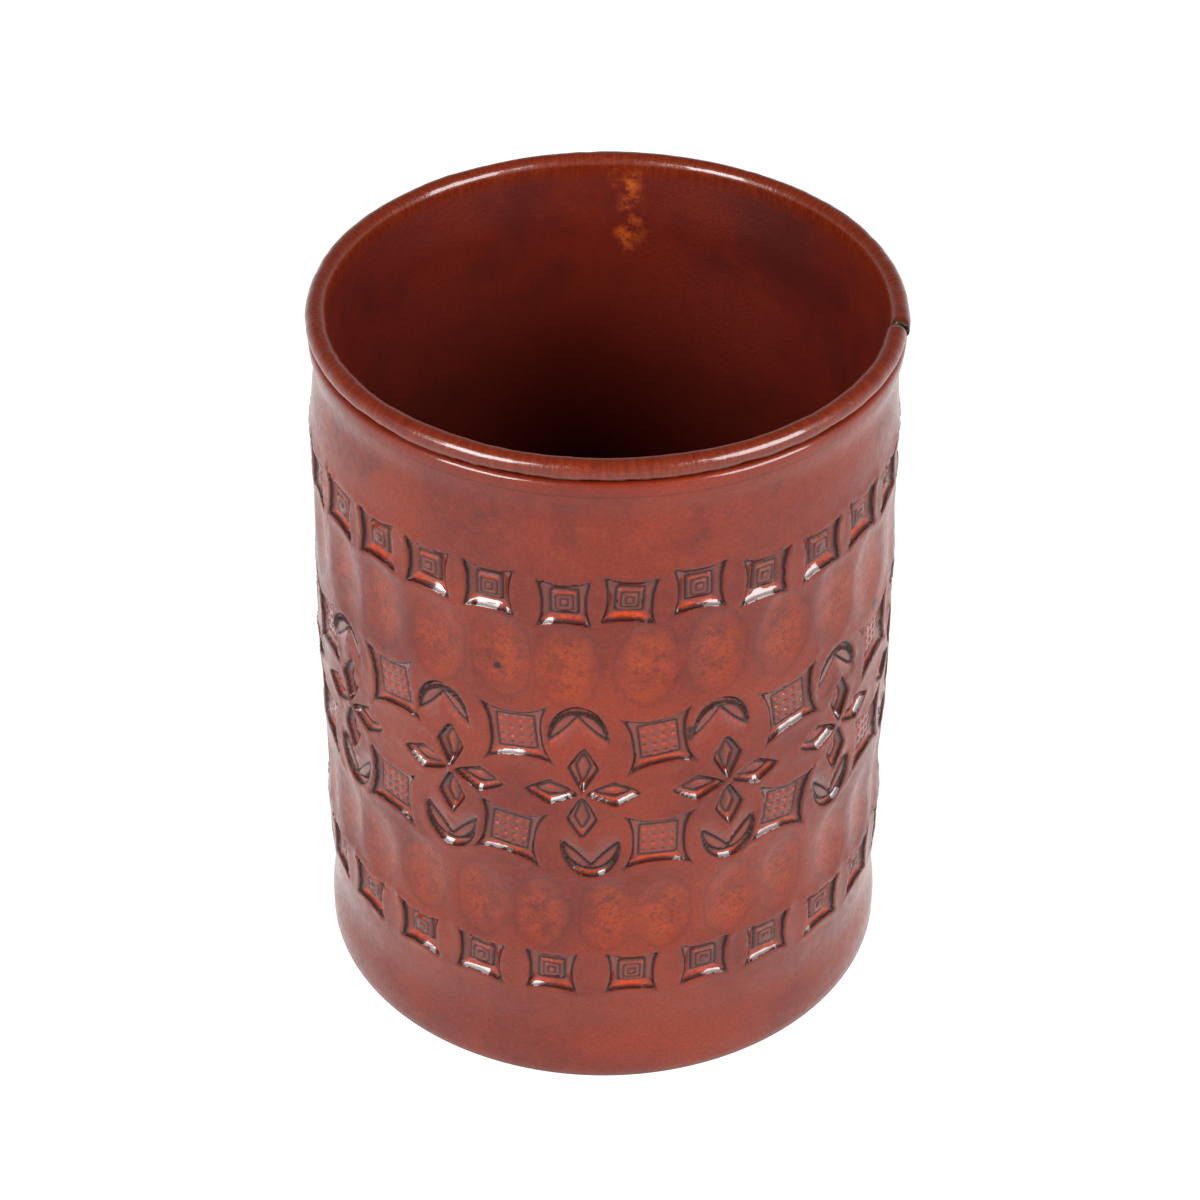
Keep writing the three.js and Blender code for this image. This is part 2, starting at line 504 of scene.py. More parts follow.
@dataclass
class Blow:
    """One blow of a die on the strip, at an azimuth and height, turned by lean and struck with force."""

    die: Die
    azimuth: float
    height: float
    lean: float = 0.0
    force: float = 1.0


@dataclass
class BorderRow:
    """A row of one die right round the cup, paced out by eye, so that its blows sit a little unevenly.

    The row is evenly spaced from its starting azimuth. Every blow is then set off by hand: drift along the
    row in degrees, rise up the wall in millimetres, wobble in its lean and a little in its force.
    """

    die: Die
    height: float
    count: int
    start: float
    wobble: float = 2.0
    lean: float = 0.0
    drift: float = 0.7
    rise: float = 0.25
    seed: int = 1

    def blows(self) -> list[Blow]:
        """Returns the row's blows, from the starting one round the cup."""
        rng = np.random.default_rng(self.seed)
        pitch = 360 / self.count
        made = []
        for index in range(self.count):
            azimuth = self.start + index * pitch + rng.normal(0, self.drift)
            height = self.height + rng.normal(0, self.rise)
            lean = self.lean + rng.normal(0, self.wobble)
            made.append(Blow(self.die, azimuth, height, lean, 1 + rng.normal(0, 0.05)))
        return made


@dataclass
class Tooling:
    """Every blow on the outer sleeve, with the work that is done on its flat strip."""

    blows: list[Blow]
    dishes: list[Blow]
    seam: float
    gap: float

    def along(self, azimuth: float) -> float:
        """Distance along the flat strip of an azimuth."""
        return ((azimuth - self.seam) % 360) * MM_PER_DEGREE

    def local(self, blow: Blow, flat: np.ndarray) -> tuple[np.ndarray, np.ndarray, np.ndarray]:
        """Places near a blow in its die's own frame.

        Args:
            blow: The blow.
            flat: Rows of place along the strip, height.

        Returns:
            The rows' indices, and their x and y on the die.
        """
        dx = flat[:, 0] - self.along(blow.azimuth)
        dy = flat[:, 1] - blow.height
        near = np.flatnonzero((abs(dx) < blow.die.reach) & (abs(dy) < blow.die.reach))
        turn = math.radians(blow.lean)
        x = dx[near] * math.cos(turn) + dy[near] * math.sin(turn)
        y = -dx[near] * math.sin(turn) + dy[near] * math.cos(turn)
        return near, x, y

    def edges(self, flat: np.ndarray) -> tuple[np.ndarray, np.ndarray, np.ndarray]:
        """Finds where each place is on the die that is nearest to it.

        Args:
            flat: Rows of place along the strip, height.

        Returns:
            The distance outside the die's outline and outside its raised middle, both negative inside, and
            the distance from its centre, counted along the sides' normals, where it is a nested square.
        """
        outline, inner, rings = (np.full(len(flat), 9.0) for _ in range(3))
        for blow in self.blows:
            near, x, y = self.local(blow, flat)
            here = blow.die.outline(x, y)
            closer = here < outline[near]
            chosen = near[closer]
            outline[chosen] = here[closer]
            inner[chosen] = blow.die.inner(x, y)[closer]
            nested = isinstance(blow.die, NestedSquareDie)
            rings[chosen] = np.maximum(abs(x), abs(y))[closer] if nested else 9.0
        return outline, inner, rings

    def pit_distance(self, flat: np.ndarray) -> np.ndarray:
        """Distance of each place from the nearest pit's middle."""
        nearest = np.full(len(flat), 99.0)
        for blow in self.blows:
            if not blow.die.pits():
                continue
            near, x, y = self.local(blow, flat)
            nearest[near] = np.minimum(nearest[near], blow.die.pit_distance(x, y))
        return nearest

    def snap(self, flat: np.ndarray, limit: np.ndarray) -> None:
        """Slides places that are near a crease onto it, so that the mesh's edges run along it.

        Args:
            flat: Rows of place along the strip, height. They are changed.
            limit: The furthest that each place may slide.
        """
        step = 0.02
        for blow in self.blows:
            near, x, y = self.local(blow, flat)
            creases = blow.die.creases
            here = np.array(creases(x, y))
            slope_x = (np.array(creases(x + step, y)) - np.array(creases(x - step, y))) / (2 * step)
            slope_y = (np.array(creases(x, y + step)) - np.array(creases(x, y - step))) / (2 * step)
            steep = np.clip(slope_x**2 + slope_y**2, 0.05, None)
            move_x, move_y = -here * slope_x / steep, -here * slope_y / steep
            length = np.hypot(move_x, move_y)
            best = length.argmin(axis=0)
            pick = (best, np.arange(len(near)))
            moved = length[pick] < limit[near]
            turn = math.radians(blow.lean)
            back_x = move_x[pick] * math.cos(turn) - move_y[pick] * math.sin(turn)
            back_y = move_x[pick] * math.sin(turn) + move_y[pick] * math.cos(turn)
            flat[near[moved], 0] += back_x[moved]
            flat[near[moved], 1] += back_y[moved]

    def press(self, flat: np.ndarray) -> tuple[np.ndarray, np.ndarray]:
        """Strikes every die.

        Args:
            flat: Rows of place along the strip, height.

        Returns:
            The leather's height at each place, and how far inside a shallow dish it is, from 0 to 1.
        """
        relief = np.zeros(len(flat))
        dished = np.zeros(len(flat))
        for blow in self.dishes:
            near, x, y = self.local(blow, flat)
            relief[near] += blow.die.relief(x, y) * blow.force
            dished[near] = np.maximum(dished[near], blow.die.dish(x, y))
        for blow in self.blows:
            near, x, y = self.local(blow, flat)
            relief[near] += blow.die.relief(x, y) * blow.force
        return relief, dished


# ------------------------------------------------------------------------------------------------ the strips


def uneven(x: np.ndarray, y: np.ndarray, pitch: float, seed: int) -> np.ndarray:
    """Smooth random height over a plane, from -1 to 1, with its bumps about one pitch apart."""
    knots = np.random.default_rng(seed).uniform(-1, 1, (512, 512))
    across, up = np.asarray(x) / pitch, np.asarray(y) / pitch
    i, j = np.floor(across).astype(int), np.floor(up).astype(int)
    s, t = smooth(0, 1, across - i), smooth(0, 1, up - j)
    low = knots[i % 512, j % 512] * (1 - s) + knots[(i + 1) % 512, j % 512] * s
    high = knots[i % 512, (j + 1) % 512] * (1 - s) + knots[(i + 1) % 512, (j + 1) % 512] * s
    return low * (1 - t) + high * t


@dataclass
class Strip:
    """A strip of leather that is laid flat as a grid and then rolled into a ring.

    On the flat grid x runs along the strip and y runs round its closed section. The section starts at the
    bottom of its face and comes back to there.
    """

    name: str
    section: list[tuple[float, float]]
    face_rows: int
    columns: int
    seam: float
    gap: float
    runs: np.ndarray = field(init=False)

    def __post_init__(self) -> None:
        """Measures round the section; on the face a run is the same as a height."""
        points = np.array(self.section)
        steps = np.hypot(*np.diff(points, axis=0).T)
        steps[: self.face_rows] = np.diff(points[:, 0])[: self.face_rows]
        self.runs = points[0, 0] + np.concatenate([[0], np.cumsum(steps)])

    def length(self) -> float:
        """Length of the flat strip."""
        return 360 * MM_PER_DEGREE

    def lay(self) -> bpy.types.Object:
        """Lays the strip flat."""
        start_clean()
        rows = len(self.section) - 1
        bpy.ops.mesh.primitive_grid_add(x_subdivisions=self.columns, y_subdivisions=rows, size=2)
        piece = bpy.context.object
        piece.name = self.name
        grid = vertex_places(piece.data)
        row = (grid[:, 1] + 1) / 2 * rows
        grid[:, 0] = (grid[:, 0] + 1) / 2 * self.length()
        grid[:, 1] = np.interp(row, range(rows + 1), self.runs)
        place_vertices(piece.data, grid)
        return piece

    def refine(self, piece: bpy.types.Object, chosen: np.ndarray) -> None:
        """Splits each chosen face in four."""
        select_faces(piece, chosen)
        bpy.ops.mesh.subdivide(number_cuts=1, ngon=False)
        bpy.ops.object.mode_set(mode="OBJECT")

    def across(self, run: np.ndarray) -> tuple[np.ndarray, np.ndarray]:
        """Height and inset of places round the section."""
        points = np.array(self.section)
        return np.interp(run, self.runs, points[:, 0]), np.interp(run, self.runs, points[:, 1])

    def azimuth(self, along: np.ndarray) -> np.ndarray:
        """Azimuth of places along the strip, with the seam's gap left open."""
        open_turn = 360 - self.gap / MM_PER_DEGREE
        return self.seam + 0.5 * self.gap / MM_PER_DEGREE + along / self.length() * open_turn

    def keep_flat(self, piece: bpy.types.Object, flat: np.ndarray) -> None:
        """Keeps the flat places as a UV map in millimetres."""
        mesh = piece.data
        layer = mesh.uv_layers.active or mesh.uv_layers.new()
        layer.name = "flat"
        corners = np.empty(len(mesh.loops), dtype=np.int32)
        mesh.loops.foreach_get("vertex_index", corners)
        layer.data.foreach_set("uv", flat[corners, :2].ravel())

    def close(self, piece: bpy.types.Object, places: np.ndarray, angle: float) -> None:
        """Rolls the strip up, joins its section and caps its two ends.

        Args:
            piece: The laid strip.
            places: Where each vertex goes, in metres.
            angle: Edges that turn more than this stay sharp.
        """
        place_vertices(piece.data, places)
        bpy.ops.object.mode_set(mode="EDIT")
        bpy.ops.mesh.select_all(action="SELECT")
        bpy.ops.mesh.remove_doubles(threshold=0.004 * MM)
        bpy.ops.mesh.select_all(action="DESELECT")
        bpy.ops.mesh.select_mode(type="EDGE")
        bpy.ops.mesh.select_non_manifold(extend=False, use_wire=False, use_multi_face=False, use_verts=False)
        bpy.ops.mesh.fill_holes(sides=0)
        bpy.ops.mesh.select_all(action="SELECT")
        bpy.ops.mesh.normals_make_consistent(inside=False)
        bpy.ops.object.mode_set(mode="OBJECT")
        bpy.ops.object.shade_smooth_by_angle(angle=math.radians(angle))


@dataclass
class OuterSleeve:
    """The thick outer leather, tooled in the flat, rolled and butted at the back."""

    wall: Wall
    repeats: int = 13
    thickness: float = 1.6
    lip_round: float = 0.72
    foot_round: float = 0.25
    cell: float = 1.4
    columns: int = 172
    seam: float = 70.0
    gap: float = 0.3

    def tooling(self) -> Tooling:
        """Returns all the blows on the sleeve."""
        square, seeded, arch, pear = NestedSquareDie(), SeededSquareDie(), ArchDie(), PearShaderDie()
        low_pear = PearShaderDie(half_width=3.9, half_height=6.3)
        repeats = self.repeats
        top = BorderRow(square, 80.1, 2 * repeats + 1, -98.5, drift=0.45, seed=3)
        foot = BorderRow(square, 18.9, 2 * repeats - 2, -100.0, drift=0.5, rise=0.15, seed=5)
        upper_seeds = BorderRow(seeded, 58.4, repeats, -107.0, wobble=4.0, lean=6.0, rise=0.4, seed=7)
        lower_seeds = BorderRow(seeded, 41.8, repeats, -108.0, wobble=3.0, lean=-2.0, rise=0.4, seed=9)
        upper_arches = BorderRow(arch, 58.4, repeats, -95.0, wobble=1.5, seed=11)
        lower_arches = BorderRow(arch, 41.4, repeats, -94.0, wobble=1.5, lean=180.0, rise=0.15, seed=13)
        upper_dishes = BorderRow(pear, 70.2, 2 * repeats, -96.0, seed=15)
        lower_dishes = BorderRow(low_pear, 29.1, 2 * repeats + 2, -90.0, seed=17)
        rows = (top, foot, upper_seeds, lower_seeds, upper_arches, lower_arches)
        blows = [blow for row in rows for blow in row.blows()] + self.flowers()
        dishes = upper_dishes.blows() + lower_dishes.blows()
        return Tooling(blows, dishes, self.seam, self.gap)

    def flowers(self) -> list[Blow]:
        """Four petals struck round each of the middle row's centres."""
        petal = PetalDie()
        centres = BorderRow(petal, 49.7, self.repeats, -94.0, rise=0.15, seed=19)
        rng = np.random.default_rng(21)
        made = []
        for centre in centres.blows():
            for quarter in range(4):
                lean = quarter * 90 + centre.lean + rng.normal(0, 1.5)
                made.append(Blow(petal, centre.azimuth, centre.height, lean, 1 + rng.normal(0, 0.06)))
        return made

    def strip(self) -> Strip:
        """Returns the sleeve's flat strip."""
        top, turn = self.wall.top, self.lip_round
        corner = top - turn
        face = [(height, 0.0) for height in np.linspace(0, corner, round(corner / self.cell) + 1)]
        face[0] = (0.0, self.foot_round)
        face.insert(1, (self.foot_round, 0.0))
        angles = np.radians([22.5, 45, 67.5, 90])
        outer_lip = [(corner + turn * math.sin(a), turn - turn * math.cos(a)) for a in angles]
        inner = self.thickness - turn
        inner_lip = [(corner + turn * math.cos(a), inner + turn * math.sin(a)) for a in angles]
        back = [(height, self.thickness) for height in np.linspace(corner, 0, 15)[1:]]
        under = [(0.0, self.thickness * 0.5), face[0]]
        section = face + outer_lip + inner_lip + back + under
        return Strip("OuterSleeve", section, len(face) - 1, self.columns, self.seam, self.gap)

    def build(self) -> bpy.types.Object:
        """Lays, splits, tools and rolls the sleeve."""
        tooling, strip = self.tooling(), self.strip()
        piece = strip.lay()
        for reach in (1.35, 0.32):
            centres = face_centres(piece.data)
            strip.refine(piece, tooling.edges(centres[:, :2])[0] < reach)
        centres = face_centres(piece.data)
        strip.refine(piece, tooling.pit_distance(centres[:, :2]) < 0.4)
        flat = vertex_places(piece.data)
        on_face = flat[:, 1] < self.wall.top - self.lip_round - 0.01
        distance = tooling.edges(flat[:, :2])[0]
        fine = np.where(tooling.pit_distance(flat[:, :2]) < 0.45, 0.07, 0.12)
        limit = np.where(on_face & (distance < 0.45), fine, 0)
        tooling.snap(flat, limit)
        relief, dished = tooling.press(flat[:, :2])
        outline, inner, rings = tooling.edges(flat[:, :2])
        height, inset = strip.across(flat[:, 1])
        rise = self.handwork(flat, relief) * on_face
        store(piece.data, "pressed", np.clip(-relief - PearShaderDie.depth * dished, -0.2, 1) * on_face)
        store(piece.data, "dished", dished * on_face)
        store(piece.data, "outline", outline)
        store(piece.data, "inner", inner)
        store(piece.data, "lip", smooth(self.wall.top - 1.0, self.wall.top - 0.6, flat[:, 1]))
        store(piece.data, "rings", rings)
        strip.keep_flat(piece, flat)
        places = self.wall.roll(strip.azimuth(flat[:, 0]), height, inset - rise)
        strip.close(piece, places, 100)
        return piece

    def handwork(self, flat: np.ndarray, relief: np.ndarray) -> np.ndarray:
        """Adds the leather's gentle waves to the tooled relief."""
        ends = smooth(0, 3, flat[:, 1])
        long_waves = 0.07 * uneven(flat[:, 0], flat[:, 1], 9.0, 31)
        short_waves = 0.03 * uneven(flat[:, 0], flat[:, 1], 3.1, 32)
        return relief + (long_waves + short_waves) * ends

    def dress(self, piece: bpy.types.Object, material: bpy.types.Material) -> None:
        """Gives the sleeve its leather."""
        finish_piece(piece, material, Slot.SLEEVE, "outer_sleeve")


@dataclass
class Lining:
    """The thin lining, which comes up the inside and rolls out over the rim cord as a bead."""

    wall: Wall
    thickness: float = 0.8
    outer_inset: float = 1.7
    bottom: float = 4.9
    bead_radius: float = 1.35
    ring_radius: float = 36.65
    bead_height: float = 98.65
    turn_end: float = -45.0
    columns: int = 420
    seam: float = -9.5
    gap: float = 0.5

    def strip(self) -> Strip:
        """Returns the lining's flat strip."""
        mouth = float(self.wall.radii[-1])

        def on_bead(angle: float, radius: float) -> tuple[float, float]:
            """Height and inset of a place on the bead's section."""
            turned = math.radians(angle)
            reach = self.ring_radius + radius * math.cos(turned)
            return self.bead_height + radius * math.sin(turned), mouth - reach

        inner, core = self.outer_inset + self.thickness, self.bead_radius - self.thickness
        inside = [(height, inner) for height in np.linspace(self.bottom, 96.4, 26)]
        bead = [on_bead(angle, self.bead_radius) for angle in np.linspace(180, self.turn_end, 19)]
        cut = [on_bead(self.turn_end, self.bead_radius - self.thickness * 0.5)]
        hollow = [on_bead(angle, core) for angle in np.linspace(self.turn_end, 180, 9)]
        back = [(height, self.outer_inset) for height in np.linspace(96.4, self.bottom, 13)]
        section = inside + bead + cut + hollow + back + [inside[0]]
        return Strip("Lining", section, len(inside) - 1, self.columns, self.seam, self.gap)

    def build(self) -> bpy.types.Object:
        """Lays and rolls the lining."""
        strip = self.strip()
        piece = strip.lay()
        flat = vertex_places(piece.data)
        height, inset = strip.across(flat[:, 1])
        bead_start, cut_run = strip.runs[26], strip.runs[45]
        on_bead = smooth(bead_start - 1.5, bead_start + 0.5, flat[:, 1]) * (flat[:, 1] < cut_run - 0.3)
        edge = np.exp(-(((flat[:, 1] - cut_run) / 0.55) ** 2))
        along = flat[:, 0]
        pucker = 0.035 * uneven(along, flat[:, 1], 1.6, 41) + 0.02 * uneven(along, flat[:, 1] * 0.3, 0.9, 42)
        thick = 0.05 * uneven(along, 0 * along, 7.0, 43)
        swell = (pucker + thick) * on_bead
        ragged = edge * (0.14 * uneven(along, 0 * along, 0.8, 44) - 0.02)
        inside = smooth(self.bottom, 20, height) * (flat[:, 1] < bead_start)
        dents = 0.09 * uneven(along, flat[:, 1], 14.0, 45) * inside * smooth(98, 80, height)
        mouth = float(self.wall.radii[-1])
        out_x, out_z = (mouth - inset) - self.ring_radius, height - self.bead_height
        reach = np.hypot(out_x, out_z) + 1e-6
        height = np.minimum(height + (swell + ragged) * out_z / reach, 100.0)
        inset = inset - (swell + ragged) * out_x / reach - dents
        ends = np.minimum(along, strip.length() - along)
        near_end = smooth(0.55, 0, ends) * on_bead
        height = np.minimum(height - 0.5 * near_end * np.clip(out_z / reach, 0, 1), 100.0)
        step = 0.22 * smooth(6, 0, along) - 0.14 * smooth(6, 0, strip.length() - along)
        inset = inset - step * on_bead
        store(piece.data, "bead", on_bead)
        store(piece.data, "joint", smooth(0.9, 0.1, ends))
        store(piece.data, "cut", edge)
        strip.keep_flat(piece, flat)
        strip.close(piece, self.wall.roll(strip.azimuth(along), height, inset), 50)
        return piece

    def dress(self, piece: bpy.types.Object, material: bpy.types.Material) -> None:
        """Gives the lining its leather."""
        finish_piece(piece, material, Slot.LINING, "lining_sleeve")


@dataclass
class RimCord:
    """Twisted cord inside the bead."""

    wall: Wall
    ring_radius: float = 36.65
    height: float = 98.65
    radius: float = 0.49
    plies: int = 3
    turns: int = 90

    def build(self) -> bpy.types.Object:
        """Makes a ring and twists its plies into it."""
        start_clean()
        bpy.ops.mesh.primitive_torus_add(
            major_segments=540, minor_segments=12, major_radius=self.ring_radius, minor_radius=self.radius
        )
        piece = bpy.context.object
        piece.name = "RimCord"
        places = vertex_places(piece.data)
        azimuth = np.arctan2(places[:, 1], places[:, 0])
        outward = np.hypot(places[:, 0], places[:, 1]) - self.ring_radius
        around = np.arctan2(places[:, 2], outward) * self.plies + azimuth * self.turns
        radius = self.radius * (0.8 + 0.2 * abs(np.cos(around / 2)))
        scale = radius / np.hypot(outward, places[:, 2])
        inset = float(self.wall.radii[-1]) - self.ring_radius - outward * scale
        height = self.height + places[:, 2] * scale
        place_vertices(piece.data, self.wall.roll(np.degrees(azimuth), height, inset))
        bpy.ops.object.shade_smooth()
        return piece

    def dress(self, piece: bpy.types.Object, material: bpy.types.Material) -> None:
        """Gives the cord its waxed flax."""
        finish_piece(piece, material, Slot.CORD, "rim_core")


@dataclass
class Disc:
    """A round of leather or board with softened edges and a slightly uneven face."""

    name: str
    node: str
    slot: Slot
    edge_round: float = 0.3
    rings: int = 12
    waves: float = 0.12
    seed: int = 1

    def build(self) -> bpy.types.Object:
        """Makes the disc inside the box of its CAD node."""
        low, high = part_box(self.node)
        radius, depth = (high[0] - low[0]) / 2, high[2] - low[2]
        start_clean()
        middle = (low[2] + high[2]) / 2
        bpy.ops.mesh.primitive_cylinder_add(vertices=144, radius=radius, depth=depth, location=(0, 0, middle))
        bpy.ops.object.transform_apply(location=True)
        piece = bpy.context.object
        piece.name = self.name
        bpy.ops.object.mode_set(mode="EDIT")
        bpy.ops.mesh.select_mode(type="EDGE")
        bpy.ops.mesh.select_all(action="DESELECT")
        bpy.ops.mesh.edges_select_sharp(sharpness=math.radians(60))
        bpy.ops.mesh.bevel(offset=self.edge_round * MM, segments=3, affect="EDGES")
        bpy.ops.object.mode_set(mode="OBJECT")
        for facing in (1, -1):
            self.ring_face(piece, facing, radius)
        places = vertex_places(piece.data)
        reach = np.hypot(places[:, 0], places[:, 1])
        fade = smooth(1.0, 0.8, reach / radius)
        wave = uneven(places[:, 0] / MM + 60, places[:, 1] / MM + 60, 11.0, self.seed) - 1
        places[:, 2] += np.sign(places[:, 2] - middle) * wave * 0.5 * self.waves * MM * fade
        place_vertices(piece.data, places)
        bpy.ops.object.shade_smooth_by_angle(angle=math.radians(40))
        return piece

    def ring_face(self, piece: bpy.types.Object, facing: int, radius: float) -> None:
        """Insets one end face into rings and closes its middle."""
        normals = np.array([face.normal.z for face in piece.data.polygons])
        sides = np.array([len(face.vertices) for face in piece.data.polygons])
        select_faces(piece, (normals * facing > 0.99) & (sides > 100))
        for _ in range(self.rings):
            bpy.ops.mesh.inset(thickness=radius / (self.rings + 1.5), use_even_offset=True)
        bpy.ops.mesh.poke()
        bpy.ops.object.mode_set(mode="OBJECT")

    def dress(self, piece: bpy.types.Object, material: bpy.types.Material) -> None:
        """Gives the disc its material."""
        finish_piece(piece, material, self.slot, self.node)


# ---------------------------------------------------------------------------------------------- the finishes


class Finish:
    """A material. Its node patterns are laid out in millimetres."""

    def start(self, name: str) -> tuple[bpy.types.Material, Tree, Socket]:
        """Makes an empty material.

        Args:
            name: The material's name.

        Returns:
            The material, its node tree and the piece's own coordinates in millimetres.
        """
        material = bpy.data.materials.new(name)
        material.use_nodes = True
        tree = material.node_tree
        tree.nodes.clear()
        place = add_node(tree, "ShaderNodeTexCoord").outputs["Object"]
        scaled = add_node(tree, "ShaderNodeVectorMath", {0: place, "Scale": 1 / MM}, operation="SCALE")
        return material, tree, scaled.outputs[0]

    def close(self, tree: Tree, height: Socket, **surface: Socket | float | tuple) -> None:
        """Ends a material in one surface shader.

        Args:
            tree: The material's node tree.
            height: Fine relief in millimetres.
            surface: Values or links of the shader, with underscores for the spaces in their names.
        """
        bump = add_node(tree, "ShaderNodeBump", {"Height": height, "Distance": MM})
        links = {name.replace("_", " "): value for name, value in surface.items()}
        shader = add_node(tree, "ShaderNodeBsdfPrincipled", {"Normal": bump.outputs[0], **links})
        add_node(tree, "ShaderNodeOutputMaterial", {"Surface": shader.outputs[0]})

    def blotches(
        self, tree: Tree, place: Socket, pitch: float, low: float, high: float, **settings: float
    ) -> Socket:
        """Cloudy patches.

        Args:
            tree: The material's node tree.
            place: Coordinates in millimetres.
            pitch: Size of a patch.
            low: Noise level at a patch's edge.
            high: Noise level where the patch is full.
            settings: The noise's own inputs.

        Returns:
            0 between the patches to 1 in them.
        """
        links = {"Vector": place, "Scale": 1 / pitch, **settings}
        noise = add_node(tree, "ShaderNodeTexNoise", links).outputs["Fac"]
        span = {"Value": noise, "From Min": low, "From Max": high}
        return add_node(tree, "ShaderNodeMapRange", span, interpolation_type="SMOOTHSTEP").outputs[0]

    def within(self, tree: Tree, mask: Socket | float, value: Socket, low: float, high: float) -> Socket:
        """Fades a mask in where a value passes from low to high.

        Args:
            tree: The material's node tree.
            mask: The mask, or 1 for the fade alone.
            value: What decides.
            low: Value where nothing is left of the mask.
            high: Value where all of it is.

        Returns:
            The faded mask.
        """
        span = {"Value": value, "From Min": low, "From Max": high}
        share = add_node(tree, "ShaderNodeMapRange", span, interpolation_type="SMOOTHSTEP").outputs[0]
        return add_node(tree, "ShaderNodeMath", {0: mask, 1: share}, operation="MULTIPLY").outputs[0]

    def line(self, tree: Tree, distance: Socket, centre: float, width: float) -> Socket:
        """Draws a soft line.

        Args:
            tree: The material's node tree.
            distance: Distance from the shape that the line follows.
            centre: Distance where the line is darkest.
            width: How far the line reaches on both sides.

        Returns:
            1 on the line to 0 beside it.
        """
        off = add_node(tree, "ShaderNodeMath", {0: distance, 1: centre}, operation="SUBTRACT").outputs[0]
        away = add_node(tree, "ShaderNodeMath", {0: off}, operation="ABSOLUTE").outputs[0]
        span = {"Value": away, "From Min": 0.0, "From Max": width, "To Min": 1.0, "To Max": 0.0}
        return add_node(tree, "ShaderNodeMapRange", span, interpolation_type="SMOOTHSTEP").outputs[0]

    def dyed(self, tree: Tree, ground: str, layers: Layers) -> Socket:
        """Builds a colour up in layers.

        Args:
            tree: The material's node tree.
            ground: The first colour.
            layers: Mask, strength and colour of each layer, in the order that they go on.

        Returns:
            The finished colour.
        """
        colour = linear(ground)
        for mask, strength, over in layers:
            share = add_node(tree, "ShaderNodeMath", {0: mask, 1: strength}, operation="MULTIPLY").outputs[0]
            over = linear(over) if isinstance(over, str) else over
            links = {0: share, 6: colour, 7: over}
            colour = add_node(tree, "ShaderNodeMix", links, data_type="RGBA").outputs[2]
        return colour

    def embossed(self, tree: Tree, layers: list[tuple[Socket, float]]) -> Socket:
        """Builds a fine relief up in layers.

        Args:
            tree: The material's node tree.
            layers: Pattern and depth in millimetres of each layer.

        Returns:
            The relief in millimetres.
        """
        height = 0.0
        for pattern, depth in layers:
            links = {0: pattern, 1: depth, 2: height}
            height = add_node(tree, "ShaderNodeMath", links, operation="MULTIPLY_ADD").outputs[0]
        return height


